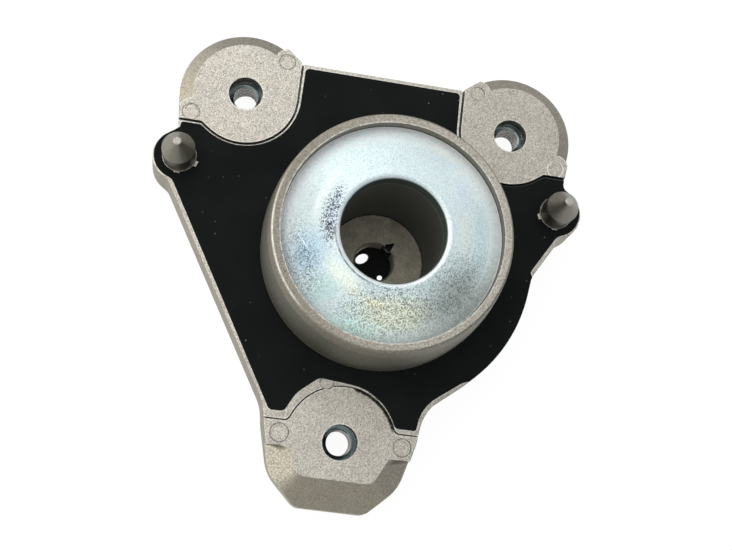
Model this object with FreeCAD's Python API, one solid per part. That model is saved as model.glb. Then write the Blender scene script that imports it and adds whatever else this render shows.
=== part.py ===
import FreeCAD, Part

import math
import os

# Strut mount, seen from the side that faces the strut tower.
# Millimetres, +Z up. The origin lies on the strut rod's axis, in the plane of the three bolt seats.
# The flange is the same left and right of a line that passes the rod axis at pattern_x.

Vector = FreeCAD.Vector
up = Vector(0, 0, 1)

# Ends of neighbouring arcs closer than this are one point
shortest_edge = 0.001

# Bolt pattern and locating pegs, measured from the flange's line of symmetry
pattern_x = -6.0
upper_bolt_x = 48.1
upper_bolt_y = 50.0
lower_bolt_y = -66.7
peg_x = 67.4
peg_y = 23.8

# Heights
flange_depth = 14.0
lip_drop = 0.5
pad_recess = 3.0
pad_drop = 0.3
web_thickness = 4.5

# Flange outline: corners (x, y) and the radii that round them
top_edge_corner = (29.4, 64.5)
top_edge_round = 1.2
boss_radius = 23.0
neck_corner = (69.2, 33.4)
neck_round = 2.8
lobe_radius = 9.2
waist_corner = (69.8, 14.4)
waist_round = 6.0
left_heel_corner = (27.0, -56.9)
left_heel_round = 16.0
bulge_radius = 54.2
bulge_start = -8.0
bulge_end = -50.9
bulge_lead = 6.6
bulge_round = 8.0
right_heel_run = 16.7
right_heel_round = 16.0
cheek_corner = (25.8, -64.0)
cheek_round = 20.0
chin_corner = (21.9, -79.2)
chin_round = 14.0
toe_corner = (11.7, -88.9)
toe_round = 4.0
wall_draft = 0.8
edge_round = 0.4

# Raised seats round the bolts, and the groove that rings each of them
upper_seat_radius = 18.2
lower_seat_radius = 18.5
upper_groove_width = 0.8
lower_groove_width = 0.5
groove_depth = 1.4
seat_corner_round = 2.0
upper_seat_edge_y = 37.4
upper_seat_leave = -54.0
lower_seat_edge_y = -61.8
lower_seat_leave = 25.0
overrun = 40.0

# Sloping sides of the upper bosses, as directions from the bolt of the right one
boss_bevel_run = 4.7
boss_bevel_drop = 4.0
boss_bevel_start = -28.0
boss_bevel_end = 132.0
boss_lug_radius = 4.8

# Sloping end of the lower boss, and the line on both sides at which the slope stops
ridge_end_corner = (12.35, -79.2)
ridge_side_corner = (17.1, -70.15)
ridge_round = 3.4
facet_slope = 40.0
facet_stop_end = (40.0, -69.8)
facet_stop_inner = (10.0, -76.0)
facet_stop_round = 3.5

# Marks left by the mould's ejector pins
pin_radius = 2.45
pin_mark_depth = 0.2
upper_pin_inner = (34.9, 64.3)
upper_pin_outer = (65.7, 40.6)
lower_pin = (20.7, -66.1)
groove_pins = ((-6.5, -47.3), (10.2, -48.75))

# Locating pegs, and the small lugs at their feet: direction and reach, for the right peg
peg_foot_radius = 5.9
peg_radius = 5.65
peg_shoulder_height = 7.8
peg_cone_radius = 1.5
peg_cone_height = 14.0
peg_nub_round = 0.6
peg_height = 15.0
lug_width = 2.0
lugs = ((200.0, 6.8), (270.0, 6.3))

# Rubber pad: outline corners and the radii that round them
pad_top_corner = (28.3, 63.2)
pad_top_round = 1.5
pad_boss_radius = 19.5
pad_boss_lift = 0.3
pad_lower_boss_radius = 19.4
pad_lower_boss_shift = (-0.3, 0.3)
pad_shelf_y = 36.2
pad_left_neck_x = 68.7
pad_right_neck_x = 69.9
pad_neck_y = 34.2
pad_neck_round = 1.0
pad_lobe_radius = 8.8
pad_lobe_lift = 0.3
pad_waist_corner = (68.6, 15.1)
pad_waist_round = 4.2
pad_right_heel_shift = (-1.1, 1.0)
pad_right_heel_round = 14.0
pad_right_tip_x = 25.2
pad_lower_y = -59.8
pad_tip_round = 1.0
pad_wide_rib_top = (-9.4, -46.1)
pad_wide_rib_top_round = 3.0
pad_wide_rib_side = (-16.6, -52.2)
pad_wide_rib_side_round = 10.0
pad_left_turn = (-19.9, -58.7)
pad_left_tip = (-24.9, -58.8)
pad_left_round = 2.0

# Pad outline beside the bulge: distance outside the bulge, direction from the rod axis, radius
pad_bulge_path = (
    (-0.2, 0.8, 1.5),
    (3.7, -6.4, 1.5),
    (7.6, -29.1, 1.5),
    (3.4, -43.9, 1.5),
    (-0.9, -50.3, 6.0),
)

# Dome and cup of the housing
dome_base_radius = 41.6
dome_bulge_radius = 41.3
dome_bulge_height = 14.0
dome_rim_radius = 39.4
rim_height = 30.5
rim_round = 0.8
recess_radius = 36.4
washer_seat_height = 24.9
cup_radius = 34.0
cup_outer_radius = 39.5
cup_foot_radius = 38.5
cup_foot_height = -25.0
cup_foot_round = 1.5
cup_ledge_height = -21.0
cup_mouth_radius = 28.0

# Underside of the flange
skirt_thickness = 4.0
hub_radius = 44.5
column_radius = 12.0
peg_column_radius = 7.5
rib_thickness = 4.0

# Threaded inserts
bolt_hole_radius = 6.0
insert_top = -3.5
insert_radius = 7.2
insert_mouth_radius = 5.7
insert_thread_radius = 4.25
insert_lead_depth = 1.7

# Cover washer
washer_thickness = 1.5
washer_margin_width = 0.3
washer_margin_bend = 10.0
washer_crown_bulge = 0.5
washer_crest_rise = 4.7
washer_shoulder_direction = 70.0
washer_hole_radius = 17.1
washer_bend_radius = 1.8
washer_collar_height = 5.9

# Rubber bush
bush_top = washer_seat_height - 1.8
bush_bore_radius = 18.0
bush_bottom = -23.6
bush_bottom_radius = 20.5

# Inner core
core_floor = -16.5
core_thickness = 6.3
core_radius = 26.0
core_pad_height = 0.6
core_pad_radius = 17.6
rod_hole_radius = 7.1
rod_hole_chamfer = 0.5
key_notch = ((3.2, 5.8), (3.7, 7.4), (6.9, 8.2), (5.8, 5.4), (4.5, 4.0))
key_notch_depth = 3.0

# Clearances between pieces that fit together
bond_gap = 0.05
press_gap = 0.03
washer_gap = 0.1


def polar(centre, radius, degrees):
    """The point at a distance and direction from a centre."""
    angle = math.radians(degrees)
    return (centre[0] + radius * math.cos(angle), centre[1] + radius * math.sin(angle))


def touch(point, centre, radius, side):
    """Direction from the centre in which a line through the point touches the circle."""
    dx = point[0] - centre[0]
    dy = point[1] - centre[1]
    swing = math.degrees(math.acos(radius / math.hypot(dx, dy)))
    return math.degrees(math.atan2(dy, dx)) + side * swing


def leaving_corner(centre, radius, direction, level):
    """Corner where the tangent that leaves a circle in a direction meets a horizontal line."""
    x, y = polar(centre, radius, direction)
    return (x - (level - y) * math.tan(math.radians(direction)), level, seat_corner_round)


def beyond(centre, radius, direction, run):
    """Point some way along the tangent that leaves a circle clockwise."""
    x, y = polar(centre, radius, direction)
    angle = math.radians(direction)
    return (x + run * math.sin(angle), y - run * math.cos(angle))


def around(centre, radius, start, end):
    """Rounded corners that follow a circle from one direction to another."""
    quarter = 90.0
    count = max(1, math.ceil(abs(end - start) / quarter))
    half = (end - start) / count / 2
    reach = radius / math.cos(math.radians(half))
    corners = []
    for number in range(count):
        middle = start + half * (2 * number + 1)
        corners.append((*polar(centre, reach, middle), radius))
    return corners


def mirrored(corners):
    """The same corners on the other side of the line of symmetry, in the opposite order."""
    return [(-x, y, radius) for x, y, radius in reversed(corners)]


def rounded_wire(corners, height):
    """A closed wire through corners (x, y, radius), each rounded by an arc tangent to both sides."""
    points = [Vector(x + pattern_x, y, height) for x, y, _ in corners]
    arcs = []
    for number, corner in enumerate(points):
        before = (points[number - 1] - corner).normalize()
        after = (points[(number + 1) % len(points)] - corner).normalize()
        half = before.getAngle(after) / 2
        radius = corners[number][2]
        run = radius / math.tan(half)
        bisector = (before + after).normalize()
        middle = corner + bisector * (radius / math.sin(half) - radius)
        arcs.append((corner + before * run, middle, corner + after * run))
    edges = []
    for number, (start, middle, end) in enumerate(arcs):
        previous_end = arcs[number - 1][2]
        if not previous_end.isEqual(start, shortest_edge):
            edges.append(Part.LineSegment(previous_end, start).toShape())
        else:
            start = previous_end
        edges.append(Part.Arc(start, middle, end).toShape())
    return Part.Wire(edges)


def prism(corners, bottom, top):
    """A straight block with a rounded outline."""
    face = Part.Face(rounded_wire(corners, bottom))
    return face.extrude(Vector(0, 0, top - bottom))


def cylinder(x, y, radius, bottom, top):
    """A round bar along Z."""
    return Part.makeCylinder(radius, top - bottom, Vector(x, y, bottom))


def revolved(edges):
    """A solid turned about the rod axis from a closed outline in the XZ plane."""
    face = Part.Face(Part.Wire(edges))
    return face.revolve(Vector(0, 0, 0), Vector(0, 0, 1), 360)


def section_line(start, end):
    """One straight edge of a turned section, between (radius, height) points."""
    return Part.LineSegment(Vector(start[0], 0, start[1]), Vector(end[0], 0, end[1])).toShape()


def section_arc(start, middle, end):
    """One curved edge of a turned section, through three (radius, height) points."""
    points = [Vector(radius, 0, height) for radius, height in (start, middle, end)]
    return Part.Arc(*points).toShape()


def bulged(start, end, bulge):
    """The middle of an arc that stands out to the right of the line from start to end by a bulge."""
    run = (end[0] - start[0], end[1] - start[1])
    share = bulge / math.hypot(*run)
    return (start[0] + run[0] / 2 + run[1] * share, start[1] + run[1] / 2 - run[0] * share)


def section_polyline(points):
    """Straight edges of a turned section through a row of (radius, height) points."""
    return [section_line(start, end) for start, end in zip(points, points[1:])]


def upper_bolts():
    """Centres of the two upper bolts, left then right, from the line of symmetry."""
    return [(-upper_bolt_x, upper_bolt_y), (upper_bolt_x, upper_bolt_y)]


def bolts():
    """Centres of the three bolts, from the rod axis."""
    centres = upper_bolts() + [(0.0, lower_bolt_y)]
    return [(x + pattern_x, y) for x, y in centres]


def pegs():
    """Centres of the two locating pegs, from the rod axis."""
    return [(pattern_x - peg_x, peg_y), (pattern_x + peg_x, peg_y)]


def shoulder_corners():
    """Right half of the outline from the top edge round the upper boss and the peg lobe."""
    boss = (upper_bolt_x, upper_bolt_y)
    lobe = (peg_x, peg_y)
    boss_start = touch(top_edge_corner, boss, boss_radius, -1)
    boss_end = touch(neck_corner, boss, boss_radius, 1)
    lobe_start = touch(neck_corner, lobe, lobe_radius, -1)
    lobe_end = touch(waist_corner, lobe, lobe_radius, 1)
    corners = [(*top_edge_corner, top_edge_round)]
    corners += around(boss, boss_radius, boss_start, boss_end)
    corners += [(*neck_corner, neck_round)]
    corners += around(lobe, lobe_radius, lobe_start, lobe_end)
    corners += [(*waist_corner, waist_round)]
    return corners


def lower_boss_corners():
    """Right half of the outline round the lower boss."""
    return [(*cheek_corner, cheek_round), (*chin_corner, chin_round), (*toe_corner, toe_round)]


def right_heel():
    """Corner where the bulge's end meets the lower boss."""
    return beyond((-pattern_x, 0.0), bulge_radius, bulge_end, right_heel_run)


def flange_corners():
    """Whole outline of the flange, clockwise from the middle of its top edge."""
    rod_axis = (-pattern_x, 0.0)
    corners = shoulder_corners()
    corners += [(*beyond(rod_axis, bulge_radius, bulge_start, -bulge_lead), bulge_round)]
    corners += around(rod_axis, bulge_radius, bulge_start, bulge_end)
    corners += [(*right_heel(), right_heel_round)]
    corners += lower_boss_corners()
    corners += mirrored(lower_boss_corners())
    corners += [(-left_heel_corner[0], left_heel_corner[1], left_heel_round)]
    corners += mirrored(shoulder_corners())
    return corners


def pad_shoulder_corners(neck_x):
    """Right half of the pad's outline along the top edge, the upper boss and the peg lobe."""
    boss = (upper_bolt_x, upper_bolt_y + pad_boss_lift)
    lobe = (peg_x, peg_y + pad_lobe_lift)
    neck = (neck_x, pad_neck_y)
    lobe_start = touch(neck, lobe, pad_lobe_radius, -1)
    lobe_end = touch(pad_waist_corner, lobe, pad_lobe_radius, 1)
    corners = [(*pad_top_corner, pad_top_round)]
    corners += around(boss, pad_boss_radius, -180.0, upper_seat_leave)
    corners += [leaving_corner(boss, pad_boss_radius, upper_seat_leave, pad_shelf_y)]
    corners += [(neck_x, pad_shelf_y, pad_neck_round), (*neck, pad_neck_round)]
    corners += around(lobe, pad_lobe_radius, lobe_start, lobe_end)
    corners += [(*pad_waist_corner, pad_waist_round)]
    return corners


def pad_corners():
    """Outline of the pad's recess. On the right it runs out over the edge of the flange."""
    ring = (pad_lower_boss_shift[0], lower_bolt_y + pad_lower_boss_shift[1])
    ring_end = touch(pad_wide_rib_top, ring, pad_lower_boss_radius, -1)
    heel_x, heel_y = right_heel()
    corners = pad_shoulder_corners(pad_right_neck_x)
    for outside, direction, radius in pad_bulge_path:
        corners += [(*polar((-pattern_x, 0.0), bulge_radius + outside, direction), radius)]
    corners += [(heel_x + pad_right_heel_shift[0], heel_y + pad_right_heel_shift[1], pad_right_heel_round)]
    corners += [(pad_right_tip_x, pad_lower_y, pad_tip_round)]
    corners += [leaving_corner(ring, pad_lower_boss_radius, lower_seat_leave, pad_lower_y)]
    corners += around(ring, pad_lower_boss_radius, lower_seat_leave, ring_end)
    corners += [(*pad_wide_rib_top, pad_wide_rib_top_round)]
    corners += [(*pad_wide_rib_side, pad_wide_rib_side_round)]
    corners += [(*pad_left_turn, pad_left_round), (*pad_left_tip, pad_left_round)]
    corners += mirrored(pad_shoulder_corners(pad_left_neck_x))
    return corners


def upper_seat_corners(grow):
    """Seat of the right upper boss, run out over the flange's edge and widened by a margin."""
    bolt = (upper_bolt_x, upper_bolt_y)
    radius = upper_seat_radius + grow
    level = upper_seat_edge_y - grow
    far_x = upper_bolt_x + overrun
    far_y = upper_bolt_y + overrun
    corners = [(upper_bolt_x - radius, far_y, seat_corner_round)]
    corners += around(bolt, radius, -180.0, upper_seat_leave)
    corners += [leaving_corner(bolt, radius, upper_seat_leave, level)]
    corners += [(far_x, level, seat_corner_round), (far_x, far_y, seat_corner_round)]
    return corners


def lower_seat_corners(grow):
    """Seat of the lower boss, run out over the flange's edge and widened by a margin."""
    bolt = (0.0, lower_bolt_y)
    radius = lower_seat_radius + grow
    level = lower_seat_edge_y + grow
    far_y = lower_bolt_y - overrun
    right = [leaving_corner(bolt, radius, lower_seat_leave, level)]
    right += [(overrun, level, seat_corner_round), (overrun, far_y, seat_corner_round)]
    return around(bolt, radius, 180.0 - lower_seat_leave, lower_seat_leave) + right + mirrored(right)


def seats(upper_grow, lower_grow, bottom, top):
    """The three seat areas, widened by margins, as blocks between two heights."""
    upper = upper_seat_corners(upper_grow)
    outlines = [upper, mirrored(upper), lower_seat_corners(lower_grow)]
    return [prism(corners, bottom, top) for corners in outlines]


def tapered_flange():
    """The flange as cast: a thick plate whose wall widens a little towards its underside."""
    top = rounded_wire(flange_corners(), 0.0)
    bottom = rounded_wire(flange_corners(), -flange_depth).makeOffset2D(wall_draft)
    return Part.makeLoft([top, bottom], True, True)


def edges_rounded(shape, height):
    """The shape with its edges in one horizontal plane rounded."""
    box_sides = [(edge, edge.BoundBox) for edge in shape.Edges]
    level = [edge for edge, box in box_sides if abs(box.ZMin - height) + abs(box.ZMax - height) < shortest_edge]
    return shape.makeFillet(edge_round, level)


def flange_plate():
    """The flange with rounded edges and only the three seats standing at full height."""
    full = tapered_flange()
    field = full.cut(prism(flange_cover(), -lip_drop, lip_drop))
    raised = edges_rounded(full, 0.0).common(Part.makeCompound(seats(0.0, 0.0, -2 * lip_drop, lip_drop)))
    return edges_rounded(field, -lip_drop).fuse(raised)


def flange_cover():
    """Corners of a plain block that covers the whole flange."""
    x = upper_bolt_x + overrun
    bottom = lower_bolt_y - overrun
    top = upper_bolt_y + overrun
    return [(x, top, edge_round), (x, bottom, edge_round), (-x, bottom, edge_round), (-x, top, edge_round)]


def ring_grooves():
    """The narrow groove round each seat."""
    wide = seats(upper_groove_width, lower_groove_width, -lip_drop - groove_depth, lip_drop)
    narrow = seats(0.0, 0.0, -2 * lip_drop - groove_depth, 2 * lip_drop)
    return [outer.cut(inner) for outer, inner in zip(wide, narrow)]


def boss_bevel():
    """The cone that slopes the outer side of the right upper boss, as far as the lugs round its pin marks."""
    inner = boss_radius - boss_bevel_run
    outer = boss_radius + boss_bevel_run
    low = -2 * boss_bevel_drop
    points = [(inner, 0.0), (outer, low), (outer, boss_bevel_drop), (inner, boss_bevel_drop), (inner, 0.0)]
    face = Part.Face(Part.Wire(section_polyline(points)))
    sector = face.revolve(Vector(0, 0, 0), up, boss_bevel_end - boss_bevel_start)
    sector.rotate(Vector(0, 0, 0), up, boss_bevel_start)
    sector.translate(Vector(upper_bolt_x, upper_bolt_y, 0))
    pins = (upper_pin_inner, upper_pin_outer)
    return sector.cut([cylinder(x, y, boss_lug_radius, low, boss_bevel_drop) for x, y in pins])


def end_ridge():
    """The body that the slopes of the lower boss leave standing, wider the deeper it goes."""
    end_x, end_y = ridge_end_corner
    side_x, side_y = ridge_side_corner
    far = (3 * side_x - 2 * end_x, 3 * side_y - 2 * end_y)
    half = [(*far, ridge_round), (end_x, end_y, ridge_round)]
    spread = 1 / math.tan(math.radians(facet_slope))
    top = rounded_wire(half + mirrored(half), lip_drop).makeOffset2D(-lip_drop * spread)
    bottom = rounded_wire(half + mirrored(half), -flange_depth).makeOffset2D(flange_depth * spread)
    return Part.makeLoft([top, bottom], True, True)


def end_slopes():
    """The cut that slopes the lower boss at its end and on both sides."""
    far_x, far_y = facet_stop_end
    half = [(*facet_stop_end, facet_stop_round), (far_x, far_y - overrun, facet_stop_round)]
    stop = [(*facet_stop_inner, facet_stop_round), (*ridge_side_corner, facet_stop_round)]
    area = prism(stop + half + mirrored(stop + half), -flange_depth, lip_drop)
    return area.cut(end_ridge())


def both_sides(shape):
    """A shape and its mirror image on the other side of the line of symmetry."""
    return [shape, shape.mirror(Vector(0, 0, 0), Vector(1, 0, 0))]


def placed(shape):
    """A shape drawn from the line of symmetry, moved to its place beside the rod axis."""
    return shape.translated(Vector(pattern_x, 0, 0))


def pin_marks():
    """The shallow discs that the mould's ejector pins leave on the bosses."""
    marks = []
    for x, y in (upper_pin_inner, upper_pin_outer, lower_pin):
        disc = cylinder(x, y, pin_radius, -pin_mark_depth, pin_mark_depth)
        marks += both_sides(disc)
    return marks


def groove_plugs():
    """The two places where an ejector pin closes the lower boss's groove."""
    bottom = -lip_drop - groove_depth
    return [cylinder(x, y, pin_radius, bottom, -lip_drop) for x, y in groove_pins]


def plug_marks():
    """The shallow discs that those pins leave in the lip and the seat."""
    return [cylinder(x, y, pin_radius, -lip_drop - pin_mark_depth, lip_drop) for x, y in groove_pins]


def peg_lugs(gap, top):
    """The lugs at the feet of both pegs, widened by a gap, from the recess floor to a height."""
    shapes = []
    for direction, reach in lugs:
        corner = Vector(0, -lug_width / 2 - gap, -pad_recess)
        lug = Part.makeBox(reach + gap, lug_width + 2 * gap, top + pad_recess, corner)
        lug.rotate(Vector(0, 0, 0), up, direction)
        shapes += both_sides(lug.translated(Vector(peg_x, peg_y, 0)))
    return [placed(shape) for shape in shapes]


def peg(x, y):
    """A locating peg: a foot as high as the pad, a round shank, a cone and a small nub."""
    base = -pad_recess - web_thickness
    inner = peg_cone_radius - peg_nub_round
    corner = peg_nub_round * (1 - math.sqrt(0.5))
    nub_side = (peg_cone_radius, peg_height - peg_nub_round)
    nub_middle = (peg_cone_radius - corner, peg_height - corner)
    points = [(0.0, base), (peg_foot_radius, base), (peg_foot_radius, -pad_drop)]
    points += [(peg_radius, -pad_drop), (peg_radius, peg_shoulder_height)]
    points += [(peg_cone_radius, peg_cone_height), nub_side]
    edges = section_polyline(points) + [section_arc(nub_side, nub_middle, (inner, peg_height))]
    edges += section_polyline([(inner, peg_height), (0.0, peg_height), (0.0, base)])
    shape = revolved(edges)
    return shape.translated(Vector(x, y, 0))


def cup_shell():
    """The round dome above the flange and the cup below it, turned as one thick wall."""
    corner = rim_round * (1 - math.sqrt(0.5))
    rim_start = (dome_rim_radius - rim_round, rim_height)
    rim_middle = (dome_rim_radius - corner, rim_height - corner)
    rim_end = (dome_rim_radius, rim_height - rim_round)
    base = (dome_base_radius, 0.0)
    foot = cup_foot_round * (1 - math.sqrt(0.5))
    foot_start = (cup_foot_radius, cup_foot_height + cup_foot_round)
    foot_middle = (cup_foot_radius - foot, cup_foot_height + foot)
    foot_end = (cup_foot_radius - cup_foot_round, cup_foot_height)
    edges = section_polyline([(recess_radius, rim_height), rim_start])
    edges += [section_arc(rim_start, rim_middle, rim_end)]
    edges += [section_arc(rim_end, (dome_bulge_radius, dome_bulge_height), base)]
    edges += section_polyline([base, (cup_outer_radius, -flange_depth), foot_start])
    edges += [section_arc(foot_start, foot_middle, foot_end)]
    edges += section_polyline([
        foot_end,
        (cup_mouth_radius, cup_foot_height),
        (cup_mouth_radius, cup_ledge_height),
        (cup_radius, cup_ledge_height),
        (cup_radius, washer_seat_height),
        (recess_radius, washer_seat_height),
        (recess_radius, rim_height),
    ])
    return revolved(edges)


def underside_rib(x, y):
    """A straight rib under the flange from the rod axis to a bolt or a peg."""
    length = math.hypot(x, y)
    corner = Vector(0, -rib_thickness / 2, -flange_depth)
    rib = Part.makeBox(length, rib_thickness, flange_depth, corner)
    rib.rotate(Vector(0, 0, 0), up, math.degrees(math.atan2(y, x)))
    return rib


def underside_pockets():
    """The hollows that lighten the flange, with the solid places they leave standing."""
    outline = rounded_wire(flange_corners(), -flange_depth).makeOffset2D(-skirt_thickness)
    hollow = Part.Face(outline).extrude(up * (flange_depth - pad_recess - web_thickness))
    solid = [cylinder(0.0, 0.0, hub_radius, -flange_depth, 0.0)]
    solid += [cylinder(x, y, column_radius, -flange_depth, 0.0) for x, y in bolts()]
    solid += [cylinder(x, y, peg_column_radius, -flange_depth, 0.0) for x, y in pegs()]
    solid += [underside_rib(x, y) for x, y in bolts() + pegs()]
    return hollow.cut(solid)


def housing():
    """The cast housing: flange, bosses, pegs, dome and cup in one piece."""
    flange = flange_plate().cut(ring_grooves())
    flange = flange.fuse([placed(plug) for plug in groove_plugs()])
    marked = both_sides(boss_bevel()) + pin_marks() + plug_marks()
    flange = flange.cut([placed(cut) for cut in marked] + [end_slopes()])
    flange = flange.cut([prism(pad_corners(), -pad_recess, overrun), underside_pockets()])
    flange = flange.cut([cylinder(x, y, bolt_hole_radius, insert_top, overrun) for x, y in bolts()])
    flange = flange.cut([cylinder(x, y, insert_radius, -overrun, insert_top) for x, y in bolts()])
    cavity = cylinder(0.0, 0.0, (cup_radius + cup_outer_radius) / 2, -overrun, overrun)
    raised = [cup_shell()] + [peg(x, y) for x, y in pegs()] + peg_lugs(0.0, -pad_drop)
    return flange.cut(cavity).fuse(raised).removeSplitter()


def flange_pad():
    """The thin rubber pad that seals the flange against the strut tower."""
    inset = rounded_wire(pad_corners(), -pad_recess).makeOffset2D(-bond_gap)
    pad = Part.Face(inset).extrude(up * (pad_recess - pad_drop))
    pad = pad.common(prism(flange_corners(), -pad_recess, 0.0))
    holes = [cylinder(0.0, 0.0, dome_base_radius + bond_gap, -overrun, overrun)]
    holes += [cylinder(x, y, peg_foot_radius + bond_gap, -overrun, overrun) for x, y in pegs()]
    return pad.cut(holes + peg_lugs(bond_gap, 0.0))


def threaded_insert(x, y):
    """A steel insert held in a boss: a plain sleeve, threaded inside, with a wide mouth."""
    outer = insert_radius - press_gap
    points = [
        (insert_mouth_radius, insert_top),
        (outer, insert_top),
        (outer, -flange_depth),
        (insert_thread_radius, -flange_depth),
        (insert_thread_radius, insert_top - insert_lead_depth),
        (insert_mouth_radius, insert_top),
    ]
    return revolved(section_polyline(points)).translated(Vector(x, y, 0))


def cover_washer():
    """The pressed steel washer: a flat margin, a domed crown and a hole with its edge turned down."""
    top = washer_seat_height + washer_thickness
    crest = top + washer_crest_rise
    collar_end = crest - washer_collar_height
    edge = recess_radius - washer_gap
    margin = (edge - washer_margin_width, top)
    bend = (washer_hole_radius + washer_bend_radius, crest - washer_bend_radius)
    inner_bend = washer_bend_radius - washer_thickness
    middle = (washer_shoulder_direction + 180.0) / 2
    shoulder = polar(bend, washer_bend_radius, washer_shoulder_direction)
    crown_top = bulged(margin, shoulder, washer_crown_bulge)
    under_shoulder = polar(bend, inner_bend, washer_shoulder_direction)
    under_margin = (margin[0] - washer_thickness * math.tan(math.radians(washer_margin_bend)), washer_seat_height)
    under_crown = bulged(under_margin, under_shoulder, washer_crown_bulge)
    collar_outer = (washer_hole_radius + washer_thickness, bend[1])
    collar_inner = (washer_hole_radius, bend[1])
    edges = section_polyline([under_margin, (edge, washer_seat_height), (edge, top), margin])
    edges += [section_arc(margin, crown_top, shoulder)]
    edges += [section_arc(shoulder, polar(bend, washer_bend_radius, middle), collar_inner)]
    edges += section_polyline([
        collar_inner,
        (washer_hole_radius, collar_end),
        (washer_hole_radius + washer_thickness, collar_end),
        collar_outer,
    ])
    edges += [section_arc(collar_outer, polar(bend, inner_bend, middle), under_shoulder)]
    edges += [section_arc(under_shoulder, under_crown, under_margin)]
    return revolved(edges)


def rubber_bush():
    """The rubber ring between cup and core. It rests on the cup's ledge and wraps the core's edge."""
    outer = cup_radius - bond_gap
    pocket = core_radius + bond_gap
    seat = core_floor - core_pad_height
    points = [
        (bush_bore_radius, bush_top),
        (outer, bush_top),
        (outer, cup_ledge_height),
        (cup_mouth_radius - bond_gap, cup_ledge_height),
        (cup_mouth_radius - bond_gap, bush_bottom),
        (bush_bottom_radius, bush_bottom),
        (bush_bottom_radius, core_floor - core_thickness),
        (pocket, core_floor - core_thickness),
        (pocket, seat),
        (bush_bore_radius, seat),
        (bush_bore_radius, bush_top),
    ]
    return revolved(section_polyline(points))


def inner_core():
    """The steel plate the strut rod is bolted to, with a raised disc, the rod hole and a key notch."""
    bottom = core_floor - core_thickness
    plate = cylinder(0.0, 0.0, core_radius, bottom, core_floor - core_pad_height)
    plate = plate.fuse(cylinder(0.0, 0.0, core_pad_radius, bottom, core_floor)).removeSplitter()
    chamfer = Part.makeCone(
        rod_hole_radius,
        rod_hole_radius + rod_hole_chamfer,
        rod_hole_chamfer,
        Vector(0, 0, core_floor - rod_hole_chamfer),
    )
    points = [Vector(x, y, core_floor) for x, y in key_notch]
    notch = Part.Face(Part.makePolygon(points + points[:1])).extrude(up * -key_notch_depth)
    return plate.cut([cylinder(0.0, 0.0, rod_hole_radius, bottom, core_floor), chamfer, notch])


def nodes():
    """Every piece of the mount under its name."""
    pieces = {
        "housing": housing(),
        "flange_pad": flange_pad(),
        "cover_washer": cover_washer(),
        "rubber_bush": rubber_bush(),
        "inner_core": inner_core(),
    }
    for name, (x, y) in zip(("left", "right", "lower"), bolts()):
        pieces[f"insert_{name}"] = threaded_insert(x, y)
    return pieces


os.makedirs("parts", exist_ok=True)
for name, shape in nodes().items():
    shape.exportStep(f"parts/{name}.step")
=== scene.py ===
import math

import bpy
from mathutils import Matrix, Vector


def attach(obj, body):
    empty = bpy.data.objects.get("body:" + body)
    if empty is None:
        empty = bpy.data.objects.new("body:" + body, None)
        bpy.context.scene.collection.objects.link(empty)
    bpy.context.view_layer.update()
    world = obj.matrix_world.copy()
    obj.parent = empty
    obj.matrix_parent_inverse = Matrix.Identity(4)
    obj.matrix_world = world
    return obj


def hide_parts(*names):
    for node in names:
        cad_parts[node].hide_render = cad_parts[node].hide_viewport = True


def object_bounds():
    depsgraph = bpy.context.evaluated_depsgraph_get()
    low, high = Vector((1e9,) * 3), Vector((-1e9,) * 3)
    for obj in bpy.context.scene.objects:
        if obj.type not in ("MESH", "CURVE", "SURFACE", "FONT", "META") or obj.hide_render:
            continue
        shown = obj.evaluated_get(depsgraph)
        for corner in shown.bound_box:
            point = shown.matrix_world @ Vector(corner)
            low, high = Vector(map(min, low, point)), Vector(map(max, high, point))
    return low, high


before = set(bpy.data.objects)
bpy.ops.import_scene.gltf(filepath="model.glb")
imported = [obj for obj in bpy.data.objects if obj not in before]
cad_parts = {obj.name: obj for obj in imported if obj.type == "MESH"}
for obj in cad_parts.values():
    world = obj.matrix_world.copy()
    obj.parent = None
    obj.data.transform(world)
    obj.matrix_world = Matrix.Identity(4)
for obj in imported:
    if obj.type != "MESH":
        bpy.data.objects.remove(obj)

cad_low, cad_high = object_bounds()
bpy.ops.object.select_all(action="DESELECT")

# Camera. It stands above the lower boss and looks down past the washer on the three bolt seats.
# The place, the turn and the focal length are those of a 732 x 550 picture on a 36 mm wide sensor.
camera_place = Vector((-0.041585, -0.087795, 0.348381))
camera_right = Vector((0.98428, 0.11671, 0.13254)).normalized()
camera_back = Vector((-0.10455, -0.21981, 0.96992)).normalized()
camera_up = camera_back.cross(camera_right).normalized()
camera_data = bpy.data.cameras.new("camera")
camera_data.sensor_width = 36.0
camera_data.lens = 51.14
camera = bpy.data.objects.new("camera", camera_data)
camera.matrix_world = Matrix((
    (camera_right.x, camera_up.x, camera_back.x, camera_place.x),
    (camera_right.y, camera_up.y, camera_back.y, camera_place.y),
    (camera_right.z, camera_up.z, camera_back.z, camera_place.z),
    (0.0, 0.0, 0.0, 1.0),
))
bpy.context.scene.collection.objects.link(camera)
bpy.context.scene.camera = camera
bpy.context.scene.view_settings.view_transform = "Standard"


# Floor: the plain white table that the mount stands on, level with the foot of its cup.
# Seen by the camera and in reflections it is white by itself, and the mount's soft shadow stays on it.
# From below it is clear, so that the mount's underside can be looked at.
def shader_node(tree, kind, values=None, links=None, **settings):
    """Adds a node, sets its settings and plain values, and links its inputs."""
    node = tree.nodes.new(kind)
    for key, value in settings.items():
        setattr(node, key, value)
    for key, value in (values or {}).items():
        node.inputs[key].default_value = value
    for key, output in (links or {}).items():
        tree.links.new(output, node.inputs[key])
    return node


def new_material(name):
    """An empty material and its node tree."""
    material = bpy.data.materials.new(name)
    material.use_nodes = True
    material.node_tree.nodes.clear()
    return material, material.node_tree


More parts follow.
